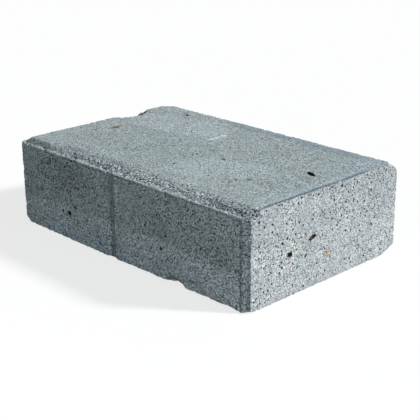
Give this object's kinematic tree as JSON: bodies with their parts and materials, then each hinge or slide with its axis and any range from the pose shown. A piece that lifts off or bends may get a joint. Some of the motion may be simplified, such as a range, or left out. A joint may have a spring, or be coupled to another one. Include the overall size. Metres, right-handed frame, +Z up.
{
  "type": "concrete ballast block",
  "caption": "Solid pressed concrete block with a chamfered, ledged top rim, chamfered upright corners and one upright side groove, laid flat as ballast.",
  "frame": {"origin": "middle of the flat underside, at the centre of the bounding box's base", "axes": "+Z up out of the pressed face, +X along the length towards the end with the square top edge, +Y across the width away from the grooved side"},
  "size_m": [0.36, 0.23, 0.1],
  "materials": {
    "concrete": "pressed face-up in a steel mould, open sandy grain, matt"
  },
  "bodies": {
    "root": {"block": "concrete"}
  },
  "joints": []
}
